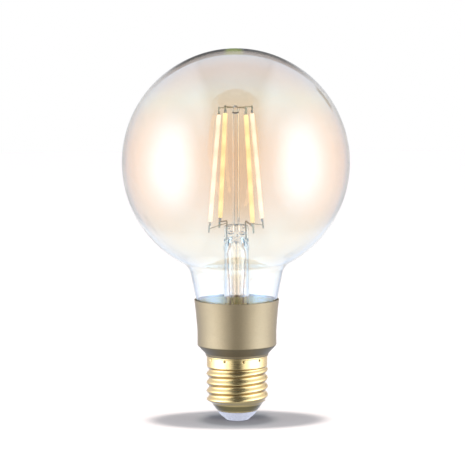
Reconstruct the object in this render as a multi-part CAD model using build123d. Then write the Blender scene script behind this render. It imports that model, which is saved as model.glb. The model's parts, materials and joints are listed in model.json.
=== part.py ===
from build123d import *

import math
import os

# Smart filament lamp: a globe of coated glass on an Edison screw cap, with a metallic
# collar between them that hides a mains driver and a radio board.
#
# Frame: millimetres, +Z up along the lamp's axis, the origin at the centre of the contact
# face at the foot of the cap. -Y is the front. The lamp stands globe upwards.

# ---------------------------------------------------------------- driving dimensions

# Globe and neck, outside surface
GLOBE_RADIUS = 48.0
GLOBE_CENTRE_Z = 109.6
GLASS_WALL = 0.8
NECK_FOOT_Z = 40.0
NECK_FOOT_RADIUS = 14.9
NECK_SLOPE = 0.198
NECK_BLEND_RADIUS = 7.0

# Collar, outside surface
RIM_Z = 51.7
RIM_RADIUS = 17.95
WAIST_Z = 38.0
WAIST_RADIUS = 16.7
SHOULDER_Z = 32.3
SHOULDER_FOOT_Z = 28.9
SHOULDER_FOOT_RADIUS = 13.5

# Edison screw shell, 27 mm size: rolled brass sheet, single-start rounded thread
SHEET = 0.3
THREAD_PITCH = 3.629
THREAD_CREST_RADIUS = 13.05
THREAD_ROOT_RADIUS = 11.95
THREAD_CREST_Z = 10.9
THREAD_STEP = 0.6
BLEND_STEP = 0.4
SPANS_PER_LOFT = 6
THREAD_LOW_Z = 8.9
THREAD_HIGH_Z = 22.6
SKIRT_RADIUS = 12.8
SKIRT_LOW_Z = 23.4
SHELL_TOP_Z = 27.8
BOWL_TOP_RADIUS = 10.9
BOWL_TOP_Z = 7.6
BOWL_FOOT_RADIUS = 7.8
BOWL_FOOT_Z = 5.1
PUNCH_COUNT = 10
PUNCH_FIRST_ANGLE = 12.0
PUNCH_Z = 26.6
PUNCH_RADIUS = 0.45

# Hollow spigot of the collar, inside the shell
SPIGOT_BORE = 10.5
SPIGOT_FOOT_Z = 10.0
SPIGOT_GAP = 0.08

# Contact and insulator at the foot of the cap
CONTACT_RADIUS = 4.3
CONTACT_HEAD = 0.9
NAIL_RADIUS = 1.3
NAIL_TOP_Z = 8.6

# Stem mount
STEM_RADIUS = 5.3
STEM_WALL = 1.0
FLARE_RADIUS = 14.0
FLARE_RISE = 9.0
STEM_TOP_Z = 72.0
PINCH_LOW_Z = 76.5
PINCH_TOP_Z = 83.6
PINCH_WIDTH = 10.8
PINCH_DEPTH = 4.2
EXHAUST_RADIUS = 2.1
EXHAUST_BORE = 1.2
EXHAUST_TOP_Z = 76.2
EXHAUST_TIP_Z = 31.8
POST_RADIUS = 1.45
POST_FOOT_Z = 80.6
BEAD_RADIUS = 1.75
BEAD_Z = 131.9

# Filament cage: four filaments on a cone about the axis
FILAMENT_ANGLES = (32.0, 122.0, 212.0, 302.0)
CAGE_TOP_Z = 133.0
CAGE_TOP_RADIUS = 7.9
CAGE_FOOT_Z = 82.0
CAGE_FOOT_RADIUS = 13.2
SLEEVE_TOP_GAP = 3.0
SLEEVE_FOOT_GAP = 3.2
SLEEVE_WIDTH = 1.9
SLEEVE_DEPTH = 1.7
STRIP_WIDTH = 1.0
STRIP_DEPTH = 0.36
TAB_LAP = 1.4
CHIP_COUNT = 28
CHIP_LENGTH = 0.8
CHIP_WIDTH = 0.5
CHIP_DEPTH = 0.18

# Wires
LEAD_RADIUS = 0.3
BRANCH_RADIUS = 0.2
SPIDER_RADIUS = 0.2
LEAD_SPREAD = 3.9
LEAD_TOP_Z = 85.0
LEAD_PAD_X = 8.5
SLEEVING_RADIUS = 0.7
LEFT_LEAD_FILAMENTS = (122.0, 212.0)
RIGHT_LEAD_FILAMENTS = (302.0, 32.0)

# Boards
DRIVER_BOARD = (18.4, 1.2, 18.6)
DRIVER_BOARD_LOW_Z = 12.2
RADIO_BOARD_RADIUS = 14.5
RADIO_BOARD_THICKNESS = 1.0
RADIO_BOARD_LOW_Z = 32.7
RADIO_BOARD_HOLE = 2.9
HEADER_XS = (4.9, 7.44)
PIN_SIDE = 0.6

# Parts on the boards
CAPACITOR_RADIUS = 3.9
CAPACITOR_X = -4.2
CHOKE_RADIUS = 3.0
CHOKE_X = 5.0
RESISTOR_RADIUS = 1.2
SHIELD_X = 0.0
SHIELD_Y = 6.9

# ---------------------------------------------------------------- worked-out dimensions

THREAD_MEAN_RADIUS = (THREAD_CREST_RADIUS + THREAD_ROOT_RADIUS) / 2
THREAD_OFFSET = (THREAD_CREST_RADIUS - THREAD_ROOT_RADIUS) / 2
DRIVER_FACE_Y = DRIVER_BOARD[1] / 2
RADIO_BOARD_TOP_Z = RADIO_BOARD_LOW_Z + RADIO_BOARD_THICKNESS
FLARE_TOP_Z = NECK_FOOT_Z
FLARE_FOOT_Z = NECK_FOOT_Z - STEM_WALL
BOWL_SLOPE = (BOWL_TOP_RADIUS - BOWL_FOOT_RADIUS) / (BOWL_TOP_Z - BOWL_FOOT_Z)
BOWL_SHEET = SHEET * math.hypot(1, BOWL_SLOPE)


def neck_radius(z):
    """Outside radius of the glass neck's taper at a height."""
    return NECK_FOOT_RADIUS + NECK_SLOPE * (z - NECK_FOOT_Z)


# ---------------------------------------------------------------- helpers


def turned(*points):
    """A solid of revolution about Z from (radius, height) corners."""
    return revolve(Plane.XZ * make_face(Polyline(*points, close=True)), Axis.Z)


def turned_edges(*edges):
    """A solid of revolution about Z from the edges of a closed (radius, height) outline."""
    return revolve(Plane.XZ * make_face(Curve() + list(edges)), Axis.Z)


def ring(outer, inner, low, high):
    """A plain tube about Z."""
    return turned((inner, low), (outer, low), (outer, high), (inner, high))


def disc(radius, low, high, x=0.0, y=0.0):
    """A plain upright cylinder."""
    height = high - low
    return Pos(x, y, low + height / 2) * Cylinder(radius, height)


def block(size_x, size_y, low, high, x=0.0, y=0.0):
    """An upright box centred on (x, y)."""
    return Pos(x, y, (low + high) / 2) * Box(size_x, size_y, high - low)


def thread_section(radius, z, share=1.0):
    """The thread's cross-section at a height: a circle that stands off the axis."""
    phase = math.tau * (z - THREAD_CREST_Z) / THREAD_PITCH
    reach = share * THREAD_OFFSET
    return Pos(reach * math.cos(phase), reach * math.sin(phase), z) * Circle(radius)


def even_heights(low, high, step):
    """Heights from low up to high, both included, about a step apart."""
    count = math.ceil((high - low) / step)
    return [low + (high - low) * i / count for i in range(count + 1)]


def thread_form(radius, low, high):
    """A single-start rounded thread: the section's centre circles the axis once each pitch."""
    return [thread_section(radius, z) for z in even_heights(low, high, THREAD_STEP)]


def run_out(thread_radius, skirt_radius):
    """Sections that blend from the thread's last one up to the plain skirt."""
    sections = []
    for z in even_heights(THREAD_HIGH_Z, SKIRT_LOW_Z, BLEND_STEP)[1:]:
        share = math.cos(math.pi / 2 * (z - THREAD_HIGH_Z) / (SKIRT_LOW_Z - THREAD_HIGH_Z))
        radius = skirt_radius + share * (thread_radius - skirt_radius)
        sections.append(thread_section(radius, z, share))
    return sections


def run_in(thread_radius, bowl_radius):
    """Sections that blend from the top of the bowl up to the thread's first one."""
    sections = []
    for z in even_heights(BOWL_TOP_Z, THREAD_LOW_Z, BLEND_STEP)[:-1]:
        share = math.sin(math.pi / 2 * (z - BOWL_TOP_Z) / (THREAD_LOW_Z - BOWL_TOP_Z))
        radius = bowl_radius + share * (thread_radius - bowl_radius)
        sections.append(thread_section(radius, z, share))
    return sections


def wire(radius, *points, bends=None, bore=0.0):
    """A round wire, or a sleeve with a bore, along straight runs joined by arcs."""
    if len(points) == 2:
        path = Line(*points)
    else:
        path = FilletPolyline(*points, radius=bends)
    section = Circle(radius)
    if bore:
        section -= Circle(bore)
    start = Plane(origin=path @ 0, z_dir=path % 0)
    return sweep(start * section, path=path)


def round_angle(radius, angle, z):
    """The point at a radius, an angle in degrees and a height."""
    turn = math.radians(angle)
    return (radius * math.cos(turn), radius * math.sin(turn), z)


def export(shape, name):
    """Write one sub-part."""
    export_step(shape, f"parts/{name}.step")


# ---------------------------------------------------------------- glass


def globe_envelope():
    """The blown envelope: a globe drawn into a tapering neck that is open at its foot."""
    below = NECK_FOOT_Z - 3
    inside_globe = GLOBE_CENTRE_Z - 0.8 * GLOBE_RADIUS
    neck = make_face(
        Polyline(
            (-neck_radius(below), below),
            (neck_radius(below), below),
            (neck_radius(inside_globe), inside_globe),
            (-neck_radius(inside_globe), inside_globe),
            close=True,
        )
    )
    outside = Pos(0, GLOBE_CENTRE_Z) * Circle(GLOBE_RADIUS) + neck
    shoulders = outside.vertices().filter_by(
        lambda v: NECK_FOOT_Z < v.Y < GLOBE_CENTRE_Z and abs(v.X) > NECK_FOOT_RADIUS
    )
    outside = fillet(shoulders, NECK_BLEND_RADIUS)
    inside = offset(outside, -GLASS_WALL)
    half = Pos(GLOBE_RADIUS, GLOBE_CENTRE_Z) * Rectangle(
        2 * GLOBE_RADIUS, 2 * (GLOBE_CENTRE_Z - NECK_FOOT_Z)
    )
    wall = (outside - inside) & half
    return revolve(Plane.XZ * wall, Axis.Z)


def stem_mount(channels):
    """The flared stem tube with its flattened pinch, less the channels of what it seals."""
    inner_radius = STEM_RADIUS - STEM_WALL
    bend_z = FLARE_TOP_Z + FLARE_RISE
    outer_bend = EllipticalCenterArc(
        (FLARE_RADIUS, bend_z),
        FLARE_RADIUS - STEM_RADIUS,
        FLARE_RISE,
        start_angle=180,
        arc_size=90,
    )
    inner_bend = EllipticalCenterArc(
        (FLARE_RADIUS, bend_z),
        FLARE_RADIUS - inner_radius,
        FLARE_RISE + STEM_WALL,
        start_angle=180,
        arc_size=90,
    )
    tube = turned_edges(
        Line((STEM_RADIUS, STEM_TOP_Z), (STEM_RADIUS, bend_z)),
        outer_bend,
        Line((FLARE_RADIUS, FLARE_TOP_Z), (NECK_FOOT_RADIUS, FLARE_TOP_Z)),
        Line((NECK_FOOT_RADIUS, FLARE_TOP_Z), (NECK_FOOT_RADIUS, FLARE_FOOT_Z)),
        Line((NECK_FOOT_RADIUS, FLARE_FOOT_Z), (FLARE_RADIUS, FLARE_FOOT_Z)),
        inner_bend,
        Line((inner_radius, bend_z), (inner_radius, STEM_TOP_Z)),
        Line((inner_radius, STEM_TOP_Z), (STEM_RADIUS, STEM_TOP_Z)),
    )
    oval = RectangleRounded(PINCH_WIDTH, PINCH_DEPTH, 1.8)
    neck = loft([Pos(0, 0, STEM_TOP_Z) * Circle(STEM_RADIUS), Pos(0, 0, PINCH_LOW_Z) * oval])
    pinch = extrude(Pos(0, 0, PINCH_LOW_Z) * oval, PINCH_TOP_Z - PINCH_LOW_Z)
    top_edges = pinch.faces().sort_by(Axis.Z)[-1].edges()
    pinch = fillet(top_edges, 0.9)
    dome_rise = 1.6
    dome = turned_edges(
        Line((0, STEM_TOP_Z), (inner_radius, STEM_TOP_Z)),
        EllipticalCenterArc(
            (0, STEM_TOP_Z), inner_radius, dome_rise, start_angle=0, arc_size=90
        ),
        Line((0, STEM_TOP_Z + dome_rise), (0, STEM_TOP_Z)),
    )
    mount = tube + (neck + pinch - dome)
    for channel in channels:
        mount -= channel
    return mount


def exhaust_tube():
    """The pumping tube, drawn to a closed tip below the stem."""
    shoulder_z = EXHAUST_TIP_Z + 4.0
    return turned(
        (EXHAUST_BORE, EXHAUST_TOP_Z),
        (EXHAUST_RADIUS, EXHAUST_TOP_Z),
        (EXHAUST_RADIUS, shoulder_z),
        (0.5, EXHAUST_TIP_Z),
        (0, EXHAUST_TIP_Z),
        (0, EXHAUST_TIP_Z + 1.2),
        (EXHAUST_BORE, shoulder_z),
    )


def centre_post():
    """The solid glass rod that carries the bead."""
    return disc(POST_RADIUS, POST_FOOT_Z, BEAD_Z)


def post_bead():
    """The melted glass bead at the top of the post."""
    return Pos(0, 0, BEAD_Z) * Sphere(BEAD_RADIUS)


# ---------------------------------------------------------------- filaments and wires


def filament_plane(angle):
    """The plane at a filament's foot, with Z up the filament and X across its width."""
    foot = Vector(*round_angle(CAGE_FOOT_RADIUS, angle, CAGE_FOOT_Z))
    top = Vector(*round_angle(CAGE_TOP_RADIUS, angle, CAGE_TOP_Z))
    across = Vector(*round_angle(1, angle + 90, 0))
    return Plane(origin=foot, x_dir=across, z_dir=top - foot)


def filament_length():
    """The length from foot to top, end tabs included."""
    return math.hypot(CAGE_FOOT_RADIUS - CAGE_TOP_RADIUS, CAGE_TOP_Z - CAGE_FOOT_Z)


def filament_strip(plane):
    """The substrate strip between the two end tabs."""
    low = SLEEVE_FOOT_GAP - TAB_LAP
    high = filament_length() - SLEEVE_TOP_GAP + TAB_LAP
    return plane * block(STRIP_WIDTH, STRIP_DEPTH, low, high)


def filament_chips(plane):
    """The row of light-emitting chips bonded along one face of the strip."""
    low = SLEEVE_FOOT_GAP + 1.2
    high = filament_length() - SLEEVE_TOP_GAP - 1.2
    step = (high - low) / (CHIP_COUNT - 1)
    y = STRIP_DEPTH / 2 + CHIP_DEPTH / 2
    chips = []
    for i in range(CHIP_COUNT):
        middle = low + i * step
        chip = block(CHIP_WIDTH, CHIP_DEPTH, middle - CHIP_LENGTH / 2, middle + CHIP_LENGTH / 2, y=y)
        chips.append(plane * chip)
    return chips


def filament_sleeve(plane):
    """The phosphor moulding around the strip, with a pocket along it for the chips."""
    low = SLEEVE_FOOT_GAP
    high = filament_length() - SLEEVE_TOP_GAP
    outline = Pos(0, 0, low) * RectangleRounded(SLEEVE_WIDTH, SLEEVE_DEPTH, 0.8)
    body = extrude(outline, high - low)
    ends = body.faces().sort_by(Axis.Z)
    body = fillet(ends[0].edges() + ends[-1].edges(), 0.35)
    pocket_y = STRIP_DEPTH / 2 + CHIP_DEPTH / 2
    slot = block(STRIP_WIDTH, STRIP_DEPTH, low - 1, high + 1)
    pocket = block(CHIP_WIDTH, CHIP_DEPTH, low + 0.6, high - 0.6, y=pocket_y)
    return plane * (body - slot - pocket)


def filament_tabs(plane):
    """The two metal end tabs, each lapped on the strip's inner face."""
    length = filament_length()
    y = -STRIP_DEPTH / 2 - 0.1
    foot = block(0.8, 0.2, -1.2, SLEEVE_FOOT_GAP - 0.1, y=y)
    top = block(0.8, 0.2, length - SLEEVE_TOP_GAP + 0.1, length + 0.3, y=y)
    return [plane * foot, plane * top]


def beyond_tab(angle):
    """Everything outward of the face on which wires are welded to a filament's tabs."""
    depth = 4.0
    plane = filament_plane(angle)
    return plane * block(6, depth, -4, filament_length() + 4, y=-STRIP_DEPTH / 2 - depth / 2)


def top_spider():
    """One star of wire that joins the four filaments' tops across the bead."""
    star = Pos(0, 0, CAGE_TOP_Z - 0.2) * Sphere(0.3)
    for angle in FILAMENT_ANGLES:
        arm = wire(
            SPIDER_RADIUS,
            (0, 0, CAGE_TOP_Z - 0.2),
            round_angle(CAGE_TOP_RADIUS + 1, angle, CAGE_TOP_Z - 0.1),
        )
        star += arm - beyond_tab(angle)
    return star


def lead_wire(side, angle):
    """One lead: radio board, stem tube, pinch, then a hook out to a filament's foot."""
    hook = round_angle(CAGE_FOOT_RADIUS + 1, angle, CAGE_FOOT_Z + 1.2)
    top = (side * LEAD_SPREAD, 0, LEAD_TOP_Z)
    lead = wire(
        LEAD_RADIUS,
        (side * LEAD_PAD_X, 0, RADIO_BOARD_LOW_Z - 0.6),
        (side * LEAD_PAD_X, 0, 36.0),
        (side * 3.5, 0, 41.5),
        (side * 2.75, 0, 50.0),
        (side * LEAD_SPREAD, 0, 73.2),
        top,
        hook,
        bends=[1.4, 1.6, 6.0, 12.0, 0.9],
    )
    return lead - beyond_tab(angle)


def lead_sleeving(side):
    """The insulating sleeve slipped over a lead below the stem."""
    return wire(
        SLEEVING_RADIUS,
        (side * LEAD_PAD_X, 0, RADIO_BOARD_TOP_Z + 0.9),
        (side * LEAD_PAD_X, 0, 36.0),
        (side * 3.5, 0, 41.5),
        (side * 3.15, 0, 45.467),
        bends=[1.4, 1.6],
        bore=LEAD_RADIUS + 0.04,
    )


def branch_wire(side, angle, lead):
    """A thinner wire welded to the lead that reaches the second filament's foot."""
    start = (side * LEAD_SPREAD, 0, LEAD_TOP_Z - 0.9)
    end = round_angle(CAGE_FOOT_RADIUS + 1, angle, CAGE_FOOT_Z + 0.2)
    return wire(BRANCH_RADIUS, start, end) - beyond_tab(angle) - lead


# ---------------------------------------------------------------- collar and cap


def collar_inner_radius(z):
    """Inside radius of the collar where it grips the cement and the neck."""
    return neck_radius(z) + 0.2 + 0.03 * (RIM_Z - z)


def collar_outside():
    """The collar's outer solid, from the rim down to the top of the shell."""
    belly = WAIST_Z + 0.45 * (RIM_Z - WAIST_Z)
    outline = [
        Line((0, SHELL_TOP_Z), (SHOULDER_FOOT_RADIUS - 0.35, SHELL_TOP_Z)),
        Line(
            (SHOULDER_FOOT_RADIUS - 0.35, SHELL_TOP_Z),
            (SHOULDER_FOOT_RADIUS, SHOULDER_FOOT_Z),
        ),
        Line(
            (SHOULDER_FOOT_RADIUS, SHOULDER_FOOT_Z),
            (WAIST_RADIUS, SHOULDER_Z),
        ),
        Line((WAIST_RADIUS, SHOULDER_Z), (WAIST_RADIUS, WAIST_Z)),
        ThreePointArc(
            (WAIST_RADIUS, WAIST_Z),
            (WAIST_RADIUS + 0.42, belly),
            (RIM_RADIUS, RIM_Z),
        ),
        Line((RIM_RADIUS, RIM_Z), (0, RIM_Z)),
        Line((0, RIM_Z), (0, SHELL_TOP_Z)),
    ]
    body = turned_edges(*outline)
    shoulder = body.edges().filter_by(GeomType.CIRCLE).filter_by(
        lambda e: abs(e.center().Z - SHOULDER_Z) < 0.01
    )
    body = fillet(shoulder, 1.1)
    rim = body.edges().filter_by(GeomType.CIRCLE).filter_by(
        lambda e: abs(e.center().Z - RIM_Z) < 0.01
    )
    return fillet(rim, 0.18)


def board_rails():
    """Two pairs of ribs in the spigot's bore that hold the driver board's edges."""
    rails = []
    rail_length = 15.0
    for side in (-1, 1):
        for face in (-1, 1):
            rail = block(
                2.1,
                1.0,
                DRIVER_BOARD_LOW_Z,
                DRIVER_BOARD_LOW_Z + rail_length,
                x=side * 9.45,
                y=face * (DRIVER_FACE_Y + 0.55),
            )
            rails.append(rail & disc(SPIGOT_BORE + 0.2, SPIGOT_FOOT_Z, SHELL_TOP_Z))
    return rails


def collar_housing():
    """The metallic collar with its hollow threaded spigot, one moulding."""
    gap = SHEET + SPIGOT_GAP
    radius = THREAD_MEAN_RADIUS - gap
    spigot = thread_form(radius, SPIGOT_FOOT_Z, THREAD_HIGH_Z) + run_out(radius, SKIRT_RADIUS - gap)
    body = collar_outside() + disc(SKIRT_RADIUS - gap, SKIRT_LOW_Z, SHELL_TOP_Z) + loft(spigot)
    ledge_z = RADIO_BOARD_LOW_Z - 0.05
    ledge_radius = RADIO_BOARD_RADIUS + 0.15
    pocket_top = NECK_FOOT_Z - 1.3
    seat_z = NECK_FOOT_Z + 1.0
    body -= turned(
        (0, SPIGOT_FOOT_Z - 1),
        (SPIGOT_BORE, SPIGOT_FOOT_Z - 1),
        (SPIGOT_BORE, 29.6),
        (ledge_radius - 1.1, ledge_z),
        (ledge_radius, ledge_z),
        (ledge_radius, pocket_top - 2.5),
        (NECK_FOOT_RADIUS + 0.3, pocket_top),
        (collar_inner_radius(seat_z), seat_z),
        (collar_inner_radius(RIM_Z), RIM_Z),
        (collar_inner_radius(RIM_Z), RIM_Z + 1),
        (0, RIM_Z + 1),
    )
    for rail in board_rails():
        body += rail
    for ball in punch_balls(PUNCH_RADIUS + SHEET + SPIGOT_GAP):
        body -= ball
    return body


def punch_balls(radius):
    """One ball for each punch mark that stakes the shell to the spigot."""
    balls = []
    for i in range(PUNCH_COUNT):
        angle = PUNCH_FIRST_ANGLE + i * 360 / PUNCH_COUNT
        centre = round_angle(SKIRT_RADIUS + 0.1, angle - 90, PUNCH_Z)
        balls.append(Pos(*centre) * Sphere(radius))
    return balls


def shell_sections(inset, bowl_inset):
    """Sections up the threaded length, inset by the sheet's thickness or by nothing."""
    radius = THREAD_MEAN_RADIUS - inset
    return (
        run_in(radius, BOWL_TOP_RADIUS - bowl_inset)
        + thread_form(radius, THREAD_LOW_Z, THREAD_HIGH_Z)
        + run_out(radius, SKIRT_RADIUS - inset)
    )


def threaded_sheet():
    """The threaded length of the shell, as short lofts that meet end to end."""
    outside = shell_sections(0.0, 0.0)
    inside = shell_sections(SHEET, BOWL_SHEET)
    last = len(outside) - 1
    cuts = [*range(0, last - 1, SPANS_PER_LOFT), last]
    sheet = Part()
    for low, high in zip(cuts, cuts[1:]):
        sheet += loft(outside[low : high + 1]) - loft(inside[low : high + 1])
    return sheet


def shell_skirt():
    """The plain top of the shell with its crease, lip and punch marks."""
    crease_z = PUNCH_Z + 0.6
    inside = SKIRT_RADIUS - SHEET
    skirt = turned(
        (inside, SKIRT_LOW_Z),
        (SKIRT_RADIUS, SKIRT_LOW_Z),
        (SKIRT_RADIUS, crease_z - 0.15),
        (SKIRT_RADIUS - 0.1, crease_z),
        (SKIRT_RADIUS + 0.1, crease_z + 0.15),
        (SKIRT_RADIUS + 0.1, SHELL_TOP_Z),
        (inside, SHELL_TOP_Z),
    )
    bump_room = ring(SKIRT_RADIUS - 0.1, SKIRT_RADIUS - 2, PUNCH_Z - 1, PUNCH_Z + 0.45)
    for ball in punch_balls(PUNCH_RADIUS + SHEET):
        skirt += ball & bump_room
    for ball in punch_balls(PUNCH_RADIUS):
        skirt -= ball
    return skirt


def screw_shell():
    """The rolled brass shell: bowl, thread and skirt in one sheet."""
    bowl = turned(
        (BOWL_FOOT_RADIUS - BOWL_SHEET, BOWL_FOOT_Z),
        (BOWL_FOOT_RADIUS, BOWL_FOOT_Z),
        (BOWL_TOP_RADIUS, BOWL_TOP_Z),
        (BOWL_TOP_RADIUS - BOWL_SHEET, BOWL_TOP_Z),
    )
    return bowl + threaded_sheet() + shell_skirt()


def cap_insulator():
    """The white insulator that plugs the shell's foot and carries the contact."""
    seat = BOWL_FOOT_RADIUS - BOWL_SHEET - 0.02
    flange_top = BOWL_FOOT_Z + 1.7
    return turned(
        (NAIL_RADIUS, CONTACT_HEAD),
        (CONTACT_RADIUS + 0.05, CONTACT_HEAD),
        (CONTACT_RADIUS + 0.05, 0.5),
        (4.85, 0.5),
        (6.3, 2.4),
        (7.75, 4.6),
        (7.75, BOWL_FOOT_Z),
        (seat, BOWL_FOOT_Z),
        (seat + BOWL_SLOPE * 1.7, flange_top),
        (6.5, flange_top + 0.6),
        (NAIL_RADIUS, flange_top + 0.6),
    )


def centre_contact():
    """The contact nail: a shallow domed head and a shank pressed into the insulator."""
    return turned(
        (0, 0),
        (2.9, 0),
        (3.8, 0.25),
        (CONTACT_RADIUS, CONTACT_HEAD - 0.2),
        (CONTACT_RADIUS, CONTACT_HEAD),
        (NAIL_RADIUS, CONTACT_HEAD),
        (NAIL_RADIUS, NAIL_TOP_Z - 0.6),
        (NAIL_RADIUS - 0.5, NAIL_TOP_Z),
        (0, NAIL_TOP_Z),
    )


def neck_cement():
    """The bonding ring between the collar and the glass neck."""
    low = NECK_FOOT_Z + 1.2
    high = RIM_Z - 0.9
    return turned(
        (neck_radius(low), low),
        (collar_inner_radius(low), low),
        (collar_inner_radius(high), high),
        (neck_radius(high), high),
    )


# ---------------------------------------------------------------- electronics

# Driver board: front parts stand on the -Y face, back parts on the +Y face.


def driver_board():
    """The upright mains board."""
    width, thickness, height = DRIVER_BOARD
    return block(width, thickness, DRIVER_BOARD_LOW_Z, DRIVER_BOARD_LOW_Z + height)


def radio_board(holes):
    """The round control board that rests on the collar's ledge."""
    board = disc(RADIO_BOARD_RADIUS, RADIO_BOARD_LOW_Z, RADIO_BOARD_TOP_Z)
    board -= disc(RADIO_BOARD_HOLE, RADIO_BOARD_LOW_Z - 1, RADIO_BOARD_TOP_Z + 1)
    for hole in holes:
        board -= hole
    return board


def capacitor_parts():
    """The smoothing capacitor: aluminium can, rubber bung and printed wrap."""
    y = -DRIVER_FACE_Y - 0.25 - CAPACITOR_RADIUS
    low = 14.2
    high = 25.6
    can = disc(CAPACITOR_RADIUS - 0.15, low + 0.4, high, CAPACITOR_X, y)
    can = fillet(can.edges().filter_by(GeomType.CIRCLE).sort_by(Axis.Z)[-1], 0.6)
    bung = disc(CAPACITOR_RADIUS - 0.7, low, low + 0.4, CAPACITOR_X, y)
    wrap = disc(CAPACITOR_RADIUS, low + 0.4, high - 0.8, CAPACITOR_X, y)
    wrap -= disc(CAPACITOR_RADIUS - 0.15, low, high, CAPACITOR_X, y)
    return can, bung, wrap


def choke_parts():
    """The filter choke: a ferrite drum and its winding."""
    y = -DRIVER_FACE_Y - 0.3 - CHOKE_RADIUS
    low, high = 14.2, 22.2
    flange = 1.1
    core = disc(CHOKE_RADIUS, low, low + flange, CHOKE_X, y)
    core += disc(CHOKE_RADIUS, high - flange, high, CHOKE_X, y)
    core += disc(1.3, low, high, CHOKE_X, y)
    winding = disc(2.7, low + flange, high - flange, CHOKE_X, y)
    winding -= disc(1.3, low, high, CHOKE_X, y)
    return core, winding


def bridge_rectifier():
    """The surface-mount bridge on the back face."""
    return block(4.7, 1.5, 14.0, 17.9, x=-4.6, y=DRIVER_FACE_Y + 0.75)


def driver_chip():
    """The driver controller on the back face."""
    return block(4.9, 1.5, 20.2, 24.1, x=-1.0, y=DRIVER_FACE_Y + 0.75)


def chip_legs():
    """The legs of the rectifier and of the controller, as separate strips."""
    legs = []
    for i in range(4):
        x = -1.0 + (i - 1.5) * 1.27
        for low in (19.2, 24.1):
            legs.append(block(0.42, 0.5, low, low + 1.0, x=x, y=DRIVER_FACE_Y + 0.25))
    for x in (-5.87, -3.33):
        for low in (13.1, 17.9):
            legs.append(block(0.7, 0.5, low, low + 0.9, x=x, y=DRIVER_FACE_Y + 0.25))
    return legs


def fusible_resistor():
    """The fusible inlet resistor, body and its two formed legs, on the back face."""
    y = DRIVER_FACE_Y + 0.3 + RESISTOR_RADIUS
    x = 4.9
    body = disc(RESISTOR_RADIUS, 15.0, 21.6, x, y)
    body = fillet(body.edges().filter_by(GeomType.CIRCLE), 0.4)
    for low, high in ((13.8, 15.0), (21.6, 22.8)):
        body += disc(0.3, low, high, x, y)
    return body


def small_passives():
    """Chip resistors and capacitors on both boards."""
    spots = [(x, 26.2 + 1.6 * row) for x in (-6.0, -3.4, 2.0, 4.6) for row in range(2)]
    parts = [
        block(1.6, 0.5, z - 0.4, z + 0.4, x=x, y=DRIVER_FACE_Y + 0.25) for x, z in spots
    ]
    top = RADIO_BOARD_TOP_Z
    for angle in range(60, 121, 20):
        x, y, _ = round_angle(11.0, angle, 0)
        parts.append(block(1.0, 0.6, top, top + 0.5, x=x, y=y))
        x, y, _ = round_angle(11.0, -angle, 0)
        parts.append(block(1.0, 0.6, top, top + 0.5, x=x, y=y))
    return parts


def radio_shield():
    """The pressed screening can over the radio chip, open below."""
    top = RADIO_BOARD_TOP_Z
    can = block(9.0, 6.6, top, top + 1.8, SHIELD_X, SHIELD_Y)
    can = fillet(can.edges().filter_by(Axis.Z), 0.5)
    return can - block(8.6, 6.2, top - 1, top + 1.6, SHIELD_X, SHIELD_Y)


def radio_chip():
    """The radio microcontroller under its can."""
    top = RADIO_BOARD_TOP_Z
    return block(5.0, 5.0, top, top + 0.9, SHIELD_X - 1.2, SHIELD_Y)


def radio_crystal():
    """The radio's crystal, beside the chip under the can."""
    top = RADIO_BOARD_TOP_Z
    return block(2.0, 2.5, top, top + 0.7, SHIELD_X + 2.9, SHIELD_Y)


def antenna_trace():
    """The folded copper antenna printed along the board's front edge."""
    top = RADIO_BOARD_TOP_Z
    thickness = 0.1
    legs = 9
    step = 1.3
    leg_length = 3.2
    y_middle = -7.4
    trace = None
    for i in range(legs):
        x = (i - (legs - 1) / 2) * step
        leg = block(0.5, leg_length, top, top + thickness, x=x, y=y_middle)
        trace = leg if trace is None else trace + leg
        if i < legs - 1:
            end = leg_length / 2 - 0.25 if i % 2 else 0.25 - leg_length / 2
            trace += block(step, 0.5, top, top + thickness, x=x + step / 2, y=y_middle + end)
    return trace


def header_blocks():
    """Two plastic header bodies on the driver board's front face."""
    y = -DRIVER_FACE_Y - 1.25
    middle = sum(HEADER_XS) / 2
    blocks = []
    for side in (-1, 1):
        body = block(5.0, 2.5, 27.4, 29.9, x=side * middle, y=y)
        for pin in header_pins(0.0):
            body -= pin
        blocks.append(body)
    return blocks


def header_pins(clearance):
    """The square pins that carry the lower board's outputs up through the round board."""
    y = -DRIVER_FACE_Y - 1.25
    side_length = PIN_SIDE + 2 * clearance
    pins = []
    for side in (-1, 1):
        for x in HEADER_XS:
            pins.append(
                block(side_length, side_length, 26.8, RADIO_BOARD_TOP_Z + 1.1, x=side * x, y=y)
            )
    return pins


def solder_joint(x, y, hole_radius):
    """A solder cone around a wire on the round board's top face."""
    top = RADIO_BOARD_TOP_Z
    cone = Pos(x, y, top + 0.35) * Cone(0.95, 0.5, 0.7)
    return cone - disc(hole_radius, top - 1, top + 2, x, y)


def live_wire():
    """From the contact nail to the driver board."""
    return wire(
        0.45,
        (0, 0, NAIL_TOP_Z),
        (0, 0, 9.7),
        (-3.2, -1.06, 11.5),
        (-3.2, -1.06, 13.6),
        bends=[0.8, 0.8],
    )


def neutral_wire():
    """From the driver board, under the spigot's foot, to the shell."""
    return wire(
        0.45,
        (4.6, -1.06, 13.6),
        (4.6, -1.06, 11.0),
        (6.6, -1.06, 9.1),
        (11.5, -1.06, 9.1),
        bends=[0.9, 0.9],
    )


# ---------------------------------------------------------------- assembly


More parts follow.
